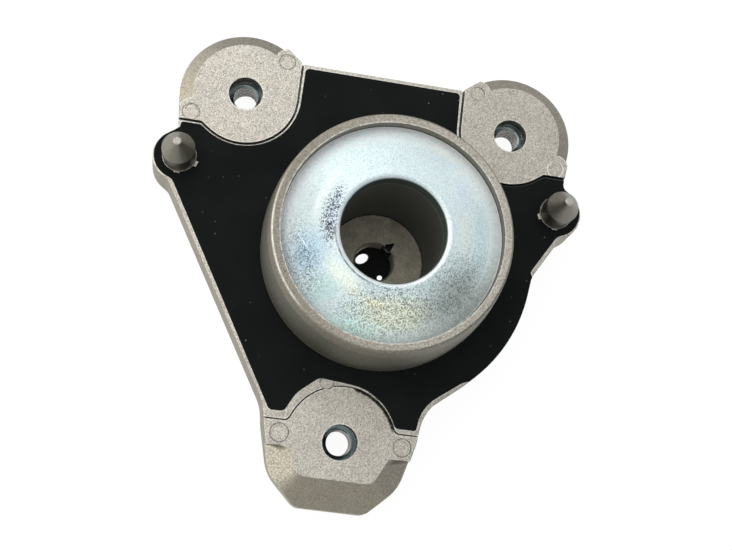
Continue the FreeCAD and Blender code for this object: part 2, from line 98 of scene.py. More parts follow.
def clear_from_below(tree, surface):
    """Ends a material of the table: its surface is seen from above and nothing of it from below."""
    side = shader_node(tree, "ShaderNodeNewGeometry")
    clear = shader_node(tree, "ShaderNodeBsdfTransparent")
    seen = shader_node(tree, "ShaderNodeMixShader", {}, {
        0: side.outputs["Backfacing"], 1: surface, 2: clear.outputs[0]})
    shader_node(tree, "ShaderNodeOutputMaterial", {}, {"Surface": seen.outputs[0]})


def lay_on_table(name, material):
    """Names the shape that was just added and gives it its material."""
    shape = bpy.context.object
    shape.name = name
    bpy.ops.object.transform_apply(location=True)
    shape.data.materials.append(material)
    bpy.ops.object.select_all(action="DESELECT")


floor_white = (0.88, 0.88, 0.88, 1.0)
light_white = (1.0, 1.0, 1.0, 1.0)
floor_glow = 1.06
floor_share = 0.88
floor_size = 200.0
floor_gap = 0.0002
floor_material, tree = new_material("white table")
ray = shader_node(tree, "ShaderNodeLightPath")
mirrored = shader_node(tree, "ShaderNodeMath", {}, {
    0: ray.outputs["Is Glossy Ray"], 1: ray.outputs["Is Transmission Ray"]}, operation="MAXIMUM")
shown = shader_node(tree, "ShaderNodeMath", {}, {
    0: ray.outputs["Is Camera Ray"], 1: mirrored.outputs[0]}, operation="MAXIMUM")
share = shader_node(tree, "ShaderNodeMath", {1: floor_share}, {0: shown.outputs[0]}, operation="MULTIPLY")
glow = shader_node(tree, "ShaderNodeEmission", {"Color": light_white, "Strength": floor_glow})
lit = shader_node(tree, "ShaderNodeBsdfDiffuse", {"Color": floor_white})
both = shader_node(tree, "ShaderNodeMixShader", {}, {
    0: share.outputs[0], 1: lit.outputs[0], 2: glow.outputs[0]})
clear_from_below(tree, both.outputs[0])
bpy.ops.mesh.primitive_plane_add(size=floor_size, location=(0.0, 0.0, cad_low.z - floor_gap))
lay_on_table("floor", floor_material)

# Studio: a pale room, brighter overhead than near the floor, and white at the horizon beyond the table.
# A wide soft lamp hangs above at the back left, one behind and one at the right.
# A low warm strip at the left picks out the slopes on that side.
room_tint = (0.97, 0.985, 1.0, 1.0)
room_low = 0.25
room_high = 0.80
haze_top = 0.14
world = bpy.data.worlds.new("pale room")
world.use_nodes = True
tree = world.node_tree
direction = shader_node(tree, "ShaderNodeTexCoord")
height = shader_node(tree, "ShaderNodeSeparateXYZ", {}, {0: direction.outputs["Generated"]})
room = shader_node(tree, "ShaderNodeMapRange", {
    "From Min": 0.0, "From Max": 1.0, "To Min": room_low, "To Max": room_high,
}, {"Value": height.outputs["Z"]})
haze = shader_node(tree, "ShaderNodeMapRange", {
    "From Min": 0.0, "From Max": haze_top, "To Min": 1.0, "To Max": 0.0,
}, {"Value": height.outputs["Z"]})
brighter = shader_node(tree, "ShaderNodeMath", {}, {
    0: room.outputs[0], 1: haze.outputs[0]}, operation="MAXIMUM")
tree.nodes["Background"].inputs["Color"].default_value = room_tint
tree.links.new(brighter.outputs[0], tree.nodes["Background"].inputs["Strength"])
bpy.context.scene.world = world
lamps = (
    # name, place, width and length, power, colour
    ("key lamp", (-0.55, 0.55, 1.15), (1.50, 1.30), 7.0, (1.0, 0.985, 0.955)),
    ("back lamp", (0.00, 0.95, 0.75), (1.20, 0.60), 1.2, (0.92, 0.97, 1.0)),
    ("right lamp", (1.00, 0.30, 0.70), (0.70, 0.70), 0.6, (0.92, 0.97, 1.0)),
    ("left lamp", (-0.95, 0.00, 0.30), (0.90, 0.30), 3.2, (1.0, 0.94, 0.80)),
)
for name, place, (width, length), power, tint in lamps:
    lamp_data = bpy.data.lights.new(name, "AREA")
    lamp_data.shape = "RECTANGLE"
    lamp_data.size = width
    lamp_data.size_y = length
    lamp_data.energy = power
    lamp_data.color = tint
    lamp = bpy.data.objects.new(name, lamp_data)
    lamp.location = place
    lamp.rotation_euler = Vector(place).to_track_quat("Z", "Y").to_euler()
    bpy.context.scene.collection.objects.link(lamp)

# Shade under the rod hole: a disc of painted shade on the table with two glowing ovals on it as painted
# highlights, which shows through the hole.
# It belongs to the table, not to the mount.
shade_radius = 0.020
shade_sides = 64
shade_black = (0.030, 0.033, 0.031, 1.0)
highlight_glow = 1.3
shade_lights = (
    # centre, turn, half length and half width
    ((-0.0037, 0.0026), 0.62, (0.0026, 0.0017)),
    ((0.0037, -0.0036), 0.40, (0.0010, 0.0009)),
)
light_edge = (0.80, 1.05)
shade_material, tree = new_material("painted shade and highlights")
place = shader_node(tree, "ShaderNodeTexCoord")
lights = []
for centre, turn, reach in shade_lights:
    oval = shader_node(tree, "ShaderNodeMapping", {
        "Location": (*centre, 0.0), "Rotation": (0.0, 0.0, turn), "Scale": (*reach, 1.0),
    }, {"Vector": place.outputs["Object"]}, vector_type="TEXTURE")
    away = shader_node(tree, "ShaderNodeVectorMath", {}, {0: oval.outputs[0]}, operation="LENGTH")
    light = shader_node(tree, "ShaderNodeMapRange", {
        "From Min": light_edge[0], "From Max": light_edge[1], "To Min": 1.0, "To Max": 0.0,
    }, {"Value": away.outputs["Value"]})
    lights.append(light.outputs[0])
highlight = shader_node(tree, "ShaderNodeMath", {}, {0: lights[0], 1: lights[1]}, operation="MAXIMUM")
glow = shader_node(tree, "ShaderNodeEmission", {"Color": light_white, "Strength": highlight_glow})
dark = shader_node(tree, "ShaderNodeBsdfDiffuse", {"Color": shade_black})
both = shader_node(tree, "ShaderNodeMixShader", {}, {
    0: highlight.outputs[0], 1: dark.outputs[0], 2: glow.outputs[0]})
clear_from_below(tree, both.outputs[0])
bpy.ops.mesh.primitive_circle_add(
    vertices=shade_sides, radius=shade_radius, fill_type="NGON",
    location=(0.0, 0.0, cad_low.z + floor_gap))
lay_on_table("painted_shade_disc", shade_material)


# Housing: flange, bosses, pegs, dome and cup are one aluminium casting, left as it came from the mould.
# Its skin is sandy and a little warm, its edges are rubbed bright, and painted shade darkens grooves and
# corners.
# Painted light makes the tops of the bosses bright, painted shade makes the dome and the slopes darker,
# and the slopes that face left get a painted highlight.
def shader_group(name, inputs, outputs):
    """A node group with named inputs and outputs, and its two end nodes."""
    group = bpy.data.node_groups.new(name, "ShaderNodeTree")
    for label, kind, value in inputs:
        socket = group.interface.new_socket(label, in_out="INPUT", socket_type=kind)
        socket.default_value = value
    for label, kind in outputs:
        group.interface.new_socket(label, in_out="OUTPUT", socket_type=kind)
    return group, group.nodes.new("NodeGroupInput"), group.nodes.new("NodeGroupOutput")


def add_group(tree, group, **values):
    """Puts a group into a material with its own values."""
    node = tree.nodes.new("ShaderNodeGroup")
    node.node_tree = group
    for key, value in values.items():
        node.inputs[key].default_value = value
    return node


def spread(tree, value, low, high, new_low=0.0, new_high=1.0):
    """Carries a value from one range to another, clamped."""
    node = shader_node(tree, "ShaderNodeMapRange", {
        "From Min": low, "From Max": high, "To Min": new_low, "To Max": new_high}, {"Value": value})
    return node.outputs[0]


def combine(tree, operation, first, second, clamp=False):
    """Two values, or a value and a number, put together by arithmetic."""
    node = shader_node(tree, "ShaderNodeMath", {}, {0: first}, operation=operation, use_clamp=clamp)
    if isinstance(second, float):
        node.inputs[1].default_value = second
    else:
        tree.links.new(second, node.inputs[1])
    return node.outputs[0]


def product(tree, first, *others):
    """A value multiplied by other values or numbers."""
    for other in others:
        first = combine(tree, "MULTIPLY", first, other)
    return first


def highest(tree, first, *others):
    """The highest of some values."""
    for other in others:
        first = combine(tree, "MAXIMUM", first, other)
    return first


def blend_colour(tree, share, first, second):
    """A colour between two colours, each either written out or taken from a node."""
    node = shader_node(tree, "ShaderNodeMix", {}, {0: share}, data_type="RGBA")
    for socket, colour in ((6, first), (7, second)):
        if isinstance(colour, tuple):
            node.inputs[socket].default_value = colour
        else:
            tree.links.new(colour, node.inputs[socket])
    return node.outputs[2]


def place_on_piece(tree):
    """The place on the piece, as outputs X, Y and Z in metres."""
    place = shader_node(tree, "ShaderNodeTexCoord")
    return shader_node(tree, "ShaderNodeSeparateXYZ", {}, {0: place.outputs["Object"]}).outputs


def finish_material(tree, constants, links, height, depth, strength):
    """A Principled surface with plain constants, linked inputs and a bump from a height."""
    surface = shader_node(tree, "ShaderNodeBsdfPrincipled", constants, links)
    bump = shader_node(tree, "ShaderNodeBump", {"Distance": depth, "Strength": strength}, {"Height": height})
    tree.links.new(bump.outputs[0], surface.inputs["Normal"])
    shader_node(tree, "ShaderNodeOutputMaterial", {}, {"Surface": surface.outputs[0]})


def paint_node(node_name, material):
    """Gives a CAD node its finish."""
    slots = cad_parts[node_name].data.materials
    slots.clear()
    slots.append(material)


# Worn edges: corners that stand out, found by how near the other side is inside the metal.
worn_edges, entry, leave = shader_group(
    "worn edges",
    [("Width", "NodeSocketFloat", 0.0004), ("Grain", "NodeSocketFloat", 1800.0)],
    [("Mask", "NodeSocketFloat")],
)
inside = shader_node(worn_edges, "ShaderNodeAmbientOcclusion", {}, {
    "Distance": entry.outputs["Width"]}, inside=True, only_local=True, samples=8)
place = shader_node(worn_edges, "ShaderNodeTexCoord")
ragged = shader_node(worn_edges, "ShaderNodeTexNoise", {"Detail": 3.0}, {
    "Vector": place.outputs["Object"], "Scale": entry.outputs["Grain"]})
thin = spread(worn_edges, inside.outputs["AO"], 0.92, 0.62)
broken = spread(worn_edges, ragged.outputs[0], 0.38, 0.60, 0.15, 1.0)
worn_edges.links.new(product(worn_edges, thin, broken), leave.inputs["Mask"])

# Crevice shade: painted shade in grooves and inner corners that little light reaches.
crevice_shade, entry, leave = shader_group(
    "crevice shade",
    [("Reach", "NodeSocketFloat", 0.001), ("Grain", "NodeSocketFloat", 900.0)],
    [("Mask", "NodeSocketFloat")],
)
outside = shader_node(crevice_shade, "ShaderNodeAmbientOcclusion", {}, {
    "Distance": entry.outputs["Reach"]}, samples=8)
place = shader_node(crevice_shade, "ShaderNodeTexCoord")
ragged = shader_node(crevice_shade, "ShaderNodeTexNoise", {"Detail": 3.0}, {
    "Vector": place.outputs["Object"], "Scale": entry.outputs["Grain"]})
deep = spread(crevice_shade, outside.outputs["AO"], 0.85, 0.35)
broken = spread(crevice_shade, ragged.outputs[0], 0.35, 0.60, 0.55, 1.0)
crevice_shade.links.new(product(crevice_shade, deep, broken), leave.inputs["Mask"])

# Fine grain: the sandy skin of a casting or an etched plating, as a height and as bright and dark grains.
fine_grain, entry, leave = shader_group(
    "fine grain",
    [("Grain", "NodeSocketFloat", 2400.0), ("Patch", "NodeSocketFloat", 140.0)],
    [("Height", "NodeSocketFloat"), ("Grains", "NodeSocketFloat"), ("Patches", "NodeSocketFloat")],
)
place = shader_node(fine_grain, "ShaderNodeTexCoord")
cells = shader_node(fine_grain, "ShaderNodeTexVoronoi", {}, {
    "Vector": place.outputs["Object"], "Scale": entry.outputs["Grain"]})
sand = shader_node(fine_grain, "ShaderNodeTexNoise", {"Detail": 2.0, "Roughness": 0.7}, {
    "Vector": place.outputs["Object"], "Scale": entry.outputs["Grain"]})
cloud = shader_node(fine_grain, "ShaderNodeTexNoise", {"Detail": 1.5, "Roughness": 0.5}, {
    "Vector": place.outputs["Object"], "Scale": entry.outputs["Patch"]})
shade_of_cell = shader_node(fine_grain, "ShaderNodeRGBToBW", {}, {0: cells.outputs["Color"]})
height = combine(fine_grain, "ADD", sand.outputs[0], cells.outputs["Distance"])
grains = product(fine_grain, combine(fine_grain, "ADD", sand.outputs[0], shade_of_cell.outputs[0]), 0.5)
fine_grain.links.new(height, leave.inputs["Height"])
fine_grain.links.new(grains, leave.inputs["Grains"])
fine_grain.links.new(cloud.outputs[0], leave.inputs["Patches"])

# Specks: single small dots, as dust or pits, scattered at random and seen from above.
specks, entry, leave = shader_group(
    "specks",
    [
        ("Scale", "NodeSocketFloat", 150.0),
        ("Share", "NodeSocketFloat", 0.5),
        ("Size", "NodeSocketFloat", 0.03),
    ],
    [("Mask", "NodeSocketFloat")],
)
place = shader_node(specks, "ShaderNodeTexCoord")
cells = shader_node(specks, "ShaderNodeTexVoronoi", {}, {
    "Vector": place.outputs["Object"], "Scale": entry.outputs["Scale"]}, voronoi_dimensions="2D")
pick = shader_node(specks, "ShaderNodeSeparateColor", {}, {0: cells.outputs["Color"]})
chosen = combine(specks, "LESS_THAN", pick.outputs[0], entry.outputs["Share"])
reach = product(specks, spread(specks, pick.outputs[1], 0.0, 1.0, 0.35, 1.0), entry.outputs["Size"])
near = combine(specks, "LESS_THAN", cells.outputs["Distance"], reach)
dimmed = spread(specks, pick.outputs[2], 0.0, 1.0, 0.25, 1.0)
specks.links.new(product(specks, near, chosen, dimmed), leave.inputs["Mask"])

# Mark: a soft oval spot at one place, for a tint, a rubbed patch, a scratch, painted shade or a painted
# highlight.
mark, entry, leave = shader_group(
    "mark",
    [
        ("Place", "NodeSocketVector", (0.0, 0.0, 0.0)),
        ("Turn", "NodeSocketVector", (0.0, 0.0, 0.0)),
        ("Size", "NodeSocketVector", (0.01, 0.01, 1.0)),
        ("Core", "NodeSocketFloat", 0.5),
    ],
    [("Mask", "NodeSocketFloat")],
)
place = shader_node(mark, "ShaderNodeTexCoord")
local = shader_node(mark, "ShaderNodeMapping", {}, {
    "Vector": place.outputs["Object"],
    "Location": entry.outputs["Place"],
    "Rotation": entry.outputs["Turn"],
    "Scale": entry.outputs["Size"],
}, vector_type="TEXTURE")
away = shader_node(mark, "ShaderNodeVectorMath", {}, {0: local.outputs[0]}, operation="LENGTH")
soft = shader_node(mark, "ShaderNodeMapRange", {"From Max": 1.0, "To Min": 1.0, "To Max": 0.0}, {
    "Value": away.outputs["Value"], "From Min": entry.outputs["Core"]}, interpolation_type="SMOOTHSTEP")
mark.links.new(soft.outputs[0], leave.inputs["Mask"])


def spot(tree, centre, size, turn=0.0, core=0.5):
    """The mask of one oval mark with its half sizes, full out to its core's share and gone at its edge."""
    node = add_group(tree, mark, Place=(*centre, 0.0), Turn=(0.0, 0.0, turn), Size=(*size, 1.0), Core=core)
    return node.outputs["Mask"]


def disc(tree, centre, radius, core):
    """The mask of one round mark."""
    return spot(tree, centre, (radius, radius), core=core)


# Ring line: a thin broken circle, such as a mould's ejector pin or a press leaves around its axis,
# also drawn as painted highlights and painted shade along round edges.
ring_line, entry, leave = shader_group(
    "ring line",
    [
        ("Place", "NodeSocketVector", (0.0, 0.0, 0.0)),
        ("Radius", "NodeSocketFloat", 0.0025),
        ("Width", "NodeSocketFloat", 0.0001),
    ],
    [("Mask", "NodeSocketFloat")],
)
place = shader_node(ring_line, "ShaderNodeTexCoord")
offset = shader_node(ring_line, "ShaderNodeVectorMath", {}, {
    0: place.outputs["Object"], 1: entry.outputs["Place"]}, operation="SUBTRACT")
level = shader_node(ring_line, "ShaderNodeVectorMath", {1: (1.0, 1.0, 0.0)}, {
    0: offset.outputs[0]}, operation="MULTIPLY")
away = shader_node(ring_line, "ShaderNodeVectorMath", {}, {0: level.outputs[0]}, operation="LENGTH")
past = combine(ring_line, "SUBTRACT", away.outputs["Value"], entry.outputs["Radius"])
gap = shader_node(ring_line, "ShaderNodeMath", {}, {0: past}, operation="ABSOLUTE")
line = shader_node(ring_line, "ShaderNodeMapRange", {"From Min": 0.0, "To Min": 1.0, "To Max": 0.0}, {
    "Value": gap.outputs[0], "From Max": entry.outputs["Width"]})
ragged = shader_node(ring_line, "ShaderNodeTexNoise", {"Scale": 700.0, "Detail": 2.0}, {
    "Vector": place.outputs["Object"]})
broken = spread(ring_line, ragged.outputs[0], 0.35, 0.55, 0.55, 1.0)
ring_line.links.new(product(ring_line, line.outputs[0], broken), leave.inputs["Mask"])


def ring(tree, centre, radius, width):
    """The mask of one ring line, which fades out over its width to either side."""
    return add_group(tree, ring_line, Place=(*centre, 0.0), Radius=radius, Width=width).outputs["Mask"]


# The housing's colours and gloss. A pair runs from the darkest to the brightest grain of the skin.
# The top colours are a lit copy of the skin, and the side, dome and end colours are shaded copies: painted
# light and shade.
cast_top_lit = ((0.360, 0.338, 0.298, 1.0), (0.815, 0.766, 0.682, 1.0))
cast_side_shaded = ((0.220, 0.202, 0.167, 1.0), (0.390, 0.358, 0.296, 1.0))
cast_dome_shaded = ((0.145, 0.144, 0.119, 1.0), (0.262, 0.259, 0.215, 1.0))
cast_end_shaded = ((0.275, 0.253, 0.200, 1.0), (0.445, 0.410, 0.325, 1.0))
# A warm pale colour: a painted highlight for the slopes that face left.
cast_left_lit = (0.93, 0.88, 0.74, 1.0)
# The edge colour serves rubbed edges and painted highlights.
edge_wear_and_highlight = (0.90, 0.88, 0.82, 1.0)
# The darkest colour serves pits, and painted shade in grooves, corners, gaps and notches.
pit_and_shade_black = (0.020, 0.019, 0.016, 1.0)
# The pit colour serves pits, and painted shade along the pin marks' edges and under the lower lugs.
pit_and_shade_dark = (0.10, 0.095, 0.082, 1.0)
# The peg colour is painted shade, and the tip colour a painted highlight.
peg_shade_grey = (0.222, 0.210, 0.178, 1.0)
peg_tip_highlight = (0.42, 0.41, 0.37, 1.0)
# Painted shade on the bolt holes' walls.
hole_wall_shade = (0.13, 0.122, 0.102, 1.0)
lip_black = (0.006, 0.007, 0.006, 1.0)
cast_metallic = 0.92
cast_gloss = (0.62, 0.44)
peg_gloss = 0.16

# Its places in metres. A pair ending in z, y or x is the stretch over which a finish comes up or fades.
# A pair ending in slope or rise is the same for the surface's direction, where 1 is straight along an axis.
axis = (0.0, 0.0)
dome_z = (0.002, 0.004)
end_y = (-0.072, -0.076)
end_slope = (-0.30, -0.50)
top_slope = (0.90, 0.985)
right_x = (-0.022, 0.030)
left_slope = (-0.30, -0.55)
left_rise = (0.35, 0.60)
left_y = (-0.020, 0.020)
rim_z = (0.024, 0.025)
rim_x = (-0.030, 0.030)
rim_line_radius = 0.0389
rim_line_width = 0.00045
foot_z = (-0.0247, -0.0240)
peg_places = ((-0.0734, 0.0238), (0.0614, 0.0238))
peg_reach = 0.0066
peg_foot_z = (0.0, 0.001)
peg_tip_z = (0.0142, 0.0149)
bolt_places = {"left": (-0.0541, 0.0500), "right": (0.0421, 0.0500), "lower": (-0.0060, -0.0667)}
hole_reach = 0.0066
below_seat_z = (-0.0002, -0.0005)
above_wall_z = (-0.0024, -0.0022)
seat_groove_radius = 0.01835
seat_groove_width = 0.00085
pin_rings = (
    # centre, radius, darkness
    ((-0.0411, 0.0643), 0.00285, 1.0),
    ((-0.0719, 0.0402), 0.00300, 1.0),
    ((0.0286, 0.0642), 0.00260, 0.6),
    ((-0.0265, -0.0659), 0.00310, 1.0),
    ((0.0150, -0.0659), 0.00300, 1.0),
    ((-0.0128, -0.0474), 0.00230, 0.9),
)
pin_line_width = 0.00030
bright_pin = ((0.0598, 0.0400), 0.0029)
bright_pin_width = 0.00035
lug_step_shadows = (
    # centre, turn
    ((-0.0262, -0.0704), -0.18),
    ((0.0142, -0.0707), 0.26),
)
lug_shadow_size = (0.0044, 0.0010)

# The noises of fine grain stay mostly within these shares.
patch_span = (0.3, 0.7)
grain_span = (0.25, 0.75)
cast_alloy, tree = new_material("cast alloy")
grain = add_group(tree, fine_grain, Grain=3000.0, Patch=110.0)
edges = add_group(tree, worn_edges, Width=0.0006, Grain=1100.0)
corner_shade = add_group(tree, crevice_shade, Reach=0.0013, Grain=900.0)
pits = add_group(tree, specks, Scale=420.0, Share=0.22, Size=0.10)
where = place_on_piece(tree)
surface = shader_node(tree, "ShaderNodeNewGeometry")
facing = shader_node(tree, "ShaderNodeSeparateXYZ", {}, {0: surface.outputs["Normal"]}).outputs
patch = spread(tree, grain.outputs["Patches"], *patch_span, 0.44, 0.56)
fleck = spread(tree, grain.outputs["Grains"], *grain_span, -0.50, 0.50)
tone = combine(tree, "ADD", patch, fleck, True)

# Painted light and shade: the tops get a lit copy of the skin, a little darker towards the right, and the
# slopes and walls, the dome and the lower boss's sloping end get shaded copies.
on_dome = spread(tree, where["Z"], *dome_z)
at_end = product(tree, spread(tree, facing["Y"], *end_slope), spread(tree, where["Y"], *end_y))
on_top = spread(tree, facing["Z"], *top_slope)
shade_towards_right = spread(tree, where["X"], *right_x, 0.0, 0.28)
shaded_side_skin = blend_colour(tree, tone, *cast_side_shaded)
lit_top_skin = blend_colour(tree, shade_towards_right, blend_colour(tree, tone, *cast_top_lit), shaded_side_skin)
colour = blend_colour(tree, on_dome, shaded_side_skin, blend_colour(tree, tone, *cast_dome_shaded))
colour = blend_colour(tree, at_end, colour, blend_colour(tree, tone, *cast_end_shaded))
colour = blend_colour(tree, on_top, colour, lit_top_skin)
# Painted highlight: slopes that face left and upwards are lit pale and warm, more so towards negative y.
lit_left_slopes = product(tree, spread(tree, facing["X"], *left_slope), spread(tree, facing["Z"], *left_rise),
                     spread(tree, where["Y"], *left_y, 0.82, 0.42))
colour = blend_colour(tree, lit_left_slopes, colour, blend_colour(tree, tone, cast_side_shaded[1], cast_left_lit))

# Painted shade makes the dome's rim darker towards the left, where a thin line around its edge is a painted
# highlight.
on_rim = spread(tree, where["Z"], *rim_z)
rim_shade = product(tree, on_rim, spread(tree, where["X"], *rim_x, 1.0, 0.20))
colour = blend_colour(tree, rim_shade, colour, shaded_side_skin)
rim_left = spot(tree, (-0.0340, -0.0120), (0.0140, 0.0320), core=0.4)
rim_highlight = product(tree, ring(tree, axis, rim_line_radius, rim_line_width), rim_left, on_rim, 0.9)
colour = blend_colour(tree, rim_highlight, colour, edge_wear_and_highlight)

# Pits, and the rings that the ejector pins left on the tops, with painted shade along their edges. The ring
# at the right gets a painted highlight along its edge.
colour = blend_colour(tree, product(tree, pits.outputs["Mask"], 0.7), colour, pit_and_shade_dark)
pin_discs = [disc(tree, *bright_pin, 0.97)]
for centre, radius, darkness in pin_rings:
    pin_edge_shade = product(tree, ring(tree, centre, radius, pin_line_width), on_top, darkness)
    colour = blend_colour(tree, pin_edge_shade, colour, pit_and_shade_dark)
    pin_discs.append(disc(tree, centre, radius, 0.97))
pin_highlight = product(tree, ring(tree, *bright_pin, bright_pin_width), on_top)
colour = blend_colour(tree, pin_highlight, colour, edge_wear_and_highlight)
off_pin = spread(tree, highest(tree, *pin_discs), 0.0, 1.0, 1.0, 0.1)

# The pegs are smoother, painted shade makes them greyer and darker, and their tips get a painted highlight.
at_pegs = [disc(tree, centre, peg_reach, 0.93) for centre in peg_places]
on_peg = product(tree, highest(tree, *at_pegs), spread(tree, where["Z"], *peg_foot_z))
mottle = spread(tree, grain.outputs["Grains"], *patch_span, 1.0, 0.82)
colour = blend_colour(tree, product(tree, on_peg, mottle), colour, peg_shade_grey)
colour = blend_colour(tree, product(tree, on_peg, spread(tree, where["Z"], *peg_tip_z)), colour, peg_tip_highlight)

# Rubbed edges, painted shade in grooves and corners but not on the foot ring, and black painted shade in the
# lower seat's groove at its right.
colour = blend_colour(tree, product(tree, edges.outputs["Mask"], 0.8, off_pin), colour, edge_wear_and_highlight)
off_foot = spread(tree, where["Z"], *foot_z)
colour = blend_colour(tree, product(tree, corner_shade.outputs["Mask"], off_pin, off_foot), colour, pit_and_shade_black)
groove_shade_right = spot(tree, (0.0060, -0.0520), (0.0122, 0.0070), turn=-0.75, core=0.8)
seat_groove = ring(tree, bolt_places["lower"], seat_groove_radius, seat_groove_width)
seat_groove_shade = combine(tree, "MULTIPLY", product(tree, seat_groove, groove_shade_right), 1.8, True)
colour = blend_colour(tree, seat_groove_shade, colour, pit_and_shade_black)

# Painted shade on the bolt holes' walls, painted shadows at the steps under the lower lugs,
# and the lip that is black like the pad.
below_seat = spread(tree, where["Z"], *below_seat_z)
shaded_holes = [disc(tree, centre, hole_reach, 0.95) for centre in bolt_places.values()]
colour = blend_colour(tree, product(tree, highest(tree, *shaded_holes), below_seat), colour, hole_wall_shade)
for centre, turn in lug_step_shadows:
    lug_shadow = product(tree, spot(tree, centre, lug_shadow_size, turn=turn, core=0.1), 0.7)
    colour = blend_colour(tree, lug_shadow, colour, pit_and_shade_dark)
beside_pad = spot(tree, (0.046, 0.0335), (0.024, 0.009), core=0.97)
on_lip = product(tree, beside_pad, below_seat, spread(tree, where["Z"], *above_wall_z))
colour = blend_colour(tree, on_lip, colour, lip_black)

gloss = combine(tree, "SUBTRACT", spread(tree, grain.outputs["Grains"], *grain_span, *cast_gloss),
                product(tree, on_peg, peg_gloss))
metal = spread(tree, on_lip, 0.0, 1.0, cast_metallic, 0.0)
finish_material(tree, {}, {"Base Color": colour, "Roughness": gloss, "Metallic": metal},
                grain.outputs["Height"], depth=0.00014, strength=0.6)
paint_node("housing", cast_alloy)

# Flange pad: a thin black rubber sheet laid in the housing's recess, smooth and dull.
# A few pale specks of dust are scattered over it.
pad_black = (0.0045, 0.0060, 0.0056, 1.0)
dust_grey = (0.20, 0.21, 0.19, 1.0)
pad_gloss = (0.62, 0.80)
pad_shine = 0.12
pad_rubber, tree = new_material("pad rubber")
grain = add_group(tree, fine_grain, Grain=2600.0, Patch=60.0)
dust = add_group(tree, specks, Scale=190.0, Share=0.16, Size=0.045)
colour = blend_colour(tree, dust.outputs["Mask"], pad_black, dust_grey)
gloss = spread(tree, grain.outputs["Patches"], *patch_span, *pad_gloss)
finish_material(tree, {"Specular IOR Level": pad_shine}, {"Base Color": colour, "Roughness": gloss},
                grain.outputs["Height"], depth=0.00004, strength=0.3)
paint_node("flange_pad", pad_rubber)

# Cover washer: pressed sheet steel, laid in the dome's recess. Its zinc plating is pale blue with faint
# tints, smooth at the back and coarser in grain towards the front. Handling has left a dark rubbed patch
# beside its hole and a few scratches.
zinc = ((0.22, 0.28, 0.28, 1.0), (0.80, 0.93, 0.955, 1.0))
zinc_rubbed = ((0.050, 0.052, 0.085, 1.0), (0.42, 0.47, 0.58, 1.0))
# The bright colour serves scratches, rubbed edges, and painted highlights and light.
zinc_wear_and_highlight = (0.97, 0.99, 1.0, 1.0)
# The crease colour serves painted shade in the crease and dark dots.
zinc_shade_and_dot = (0.09, 0.095, 0.09, 1.0)
# The collar colour is painted shade.
zinc_collar_shade = (0.09, 0.12, 0.105, 1.0)
zinc_gloss = (0.54, 0.40)
zinc_shine = 0.6
zinc_metallic = 0.55
margin_metallic = 0.05
tint_grain = ((0.35, 0.35, 0.35, 1.0), (1.2, 1.2, 1.2, 1.0))
zinc_tints = (
    # centre, half sizes, turn, core, share, colour
    ((-0.0290, 0.0020), (0.0120, 0.0220), 0.0, 0.10, 0.80, (0.48, 0.56, 0.56, 1.0)),
    ((-0.0270, -0.0110), (0.0110, 0.0120), 0.0, 0.10, 0.85, (0.36, 0.52, 0.63, 1.0)),
    ((-0.0210, -0.0220), (0.0110, 0.0070), 0.8, 0.10, 0.60, (0.44, 0.66, 0.64, 1.0)),
    ((-0.0080, -0.0320), (0.0190, 0.0060), 0.1, 0.10, 0.80, (0.66, 1.00, 0.92, 1.0)),
    ((0.0040, -0.0270), (0.0190, 0.0090), 0.1, 0.20, 0.75, (0.86, 0.89, 0.68, 1.0)),
    ((0.0230, -0.0190), (0.0225, 0.0140), 0.9, 0.05, 0.88, (0.32, 0.36, 0.33, 1.0)),
    ((-0.0130, -0.0185), (0.0140, 0.0042), -0.7, 0.15, 0.75, (0.84, 0.90, 0.78, 1.0)),
    ((-0.0030, -0.0245), (0.0060, 0.0022), -0.3, 0.10, 0.80, (0.90, 0.90, 0.66, 1.0)),
    ((0.0300, 0.0040), (0.0080, 0.0200), 0.1, 0.10, 0.60, (0.56, 0.74, 0.77, 1.0)),
    ((0.0235, 0.0020), (0.0036, 0.0110), 0.1, 0.10, 0.45, (0.78, 0.84, 0.72, 1.0)),
    ((0.0240, 0.0200), (0.0110, 0.0120), 0.5, 0.10, 0.55, (0.90, 1.00, 1.00, 1.0)),
    ((0.0215, 0.0160), (0.0040, 0.0090), 0.5, 0.10, 0.30, (0.56, 0.66, 0.80, 1.0)),
    ((0.0130, 0.0300), (0.0080, 0.0022), -0.6, 0.10, 0.45, (0.90, 0.91, 0.78, 1.0)),
)
coarse_places = (
    # centre, half sizes, turn, core, share
    ((0.0020, -0.0260), (0.0240, 0.0130), 0.15, 0.30, 1.00),
    ((-0.0290, -0.0130), (0.0085, 0.0200), 0.35, 0.25, 0.80),
    ((0.0220, -0.0160), (0.0210, 0.0140), 0.90, 0.20, 0.65),
)
scratches = (
    # centre, half sizes, turn
    ((-0.0283, -0.0074), (0.0050, 0.00022), -0.89),
    ((-0.0143, -0.0224), (0.0018, 0.00016), 0.15),
    ((-0.0015, -0.0262), (0.0020, 0.00014), -0.50),
    ((0.0265, 0.0090), (0.0030, 0.00012), 1.20),
)
lip_radius, lip_width = 0.0179, 0.0010
crease_radius, crease_width = 0.0190, 0.00045
rubbed_radius, rubbed_width = 0.0212, 0.0036
crest_radius, crest_width = 0.0258, 0.0016
arc_radii, arc_width = (0.0262, 0.0322), 0.0005
margin_radius, margin_width = 0.0362, 0.0070
collar_radius = 0.0177
collar_z = (0.0307, 0.0302)
collar_edge_z = (0.0254, 0.0252)
lip_y = (0.010, -0.004)
margin_y = (-0.018, 0.004)
zinc_steel, tree = new_material("zinc plated steel")
grain = add_group(tree, fine_grain, Grain=3000.0, Patch=55.0)
dots = add_group(tree, specks, Scale=330.0, Share=0.10, Size=0.07)
where = place_on_piece(tree)

